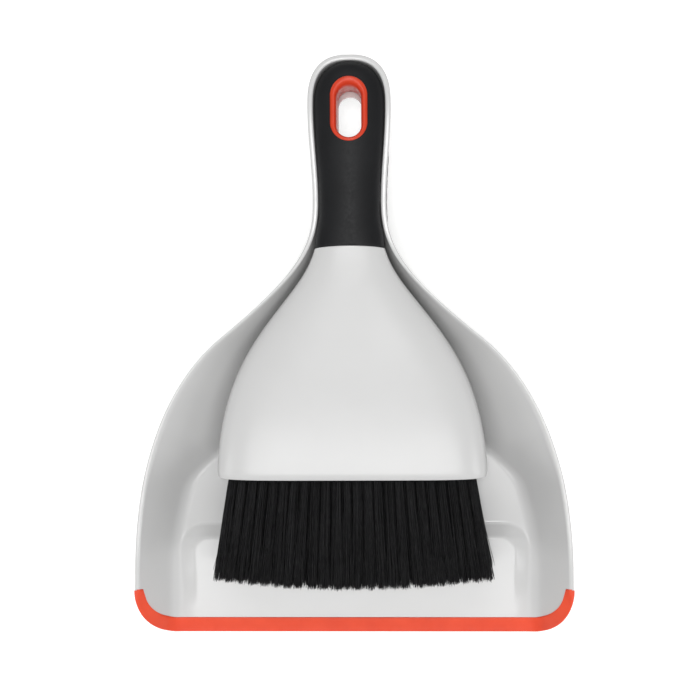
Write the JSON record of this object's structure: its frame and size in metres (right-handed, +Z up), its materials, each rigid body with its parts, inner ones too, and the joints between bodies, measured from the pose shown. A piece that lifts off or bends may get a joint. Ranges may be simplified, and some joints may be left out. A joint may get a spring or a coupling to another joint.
{
  "type": "dust pan and brush set",
  "caption": "White hand dust pan with an orange soft lip and a channel handle, and a fan-shaped hand brush with a rubber grip that nests in it.",
  "frame": {"origin": "under the middle of the set, on the surface it stands on", "axes": "+X to the right across the pan, +Y from the lip to the tip of the handle, +Z up"},
  "size_m": [0.242, 0.315, 0.0688],
  "materials": {
    "pan_white": "glossy moulded polypropylene",
    "head_white": "satin moulded polypropylene",
    "lip_orange": "satin soft elastomer",
    "ring_orange": "glossy moulded plastic",
    "grip_rubber": "matte soft rubber",
    "block_black": "matte moulded polypropylene",
    "bristle_black": "flagged polyester filament",
    "staple_steel": "flattened wire"
  },
  "bodies": {
    "pan": {"pan_body": "pan_white", "pan_lip": "lip_orange", "pan_grip": "grip_rubber"},
    "brush": {"head_shell": "head_white", "brush_grip": "grip_rubber", "hang_ring": "ring_orange", "bristle_block": "block_black", "tufts_row_1": "bristle_black", "tufts_row_2": "bristle_black", "tufts_row_3": "bristle_black", "tufts_row_4": "bristle_black", "tufts_row_5": "bristle_black", "staples_row_1": "staple_steel", "staples_row_2": "staple_steel", "staples_row_3": "staple_steel", "staples_row_4": "staple_steel", "staples_row_5": "staple_steel"}
  },
  "joints": [
    {"name": "brush_lift", "type": "slide", "parent": "pan", "child": "brush", "axis": [0, 0, 1], "range_m": [0, 0.12]}
  ]
}
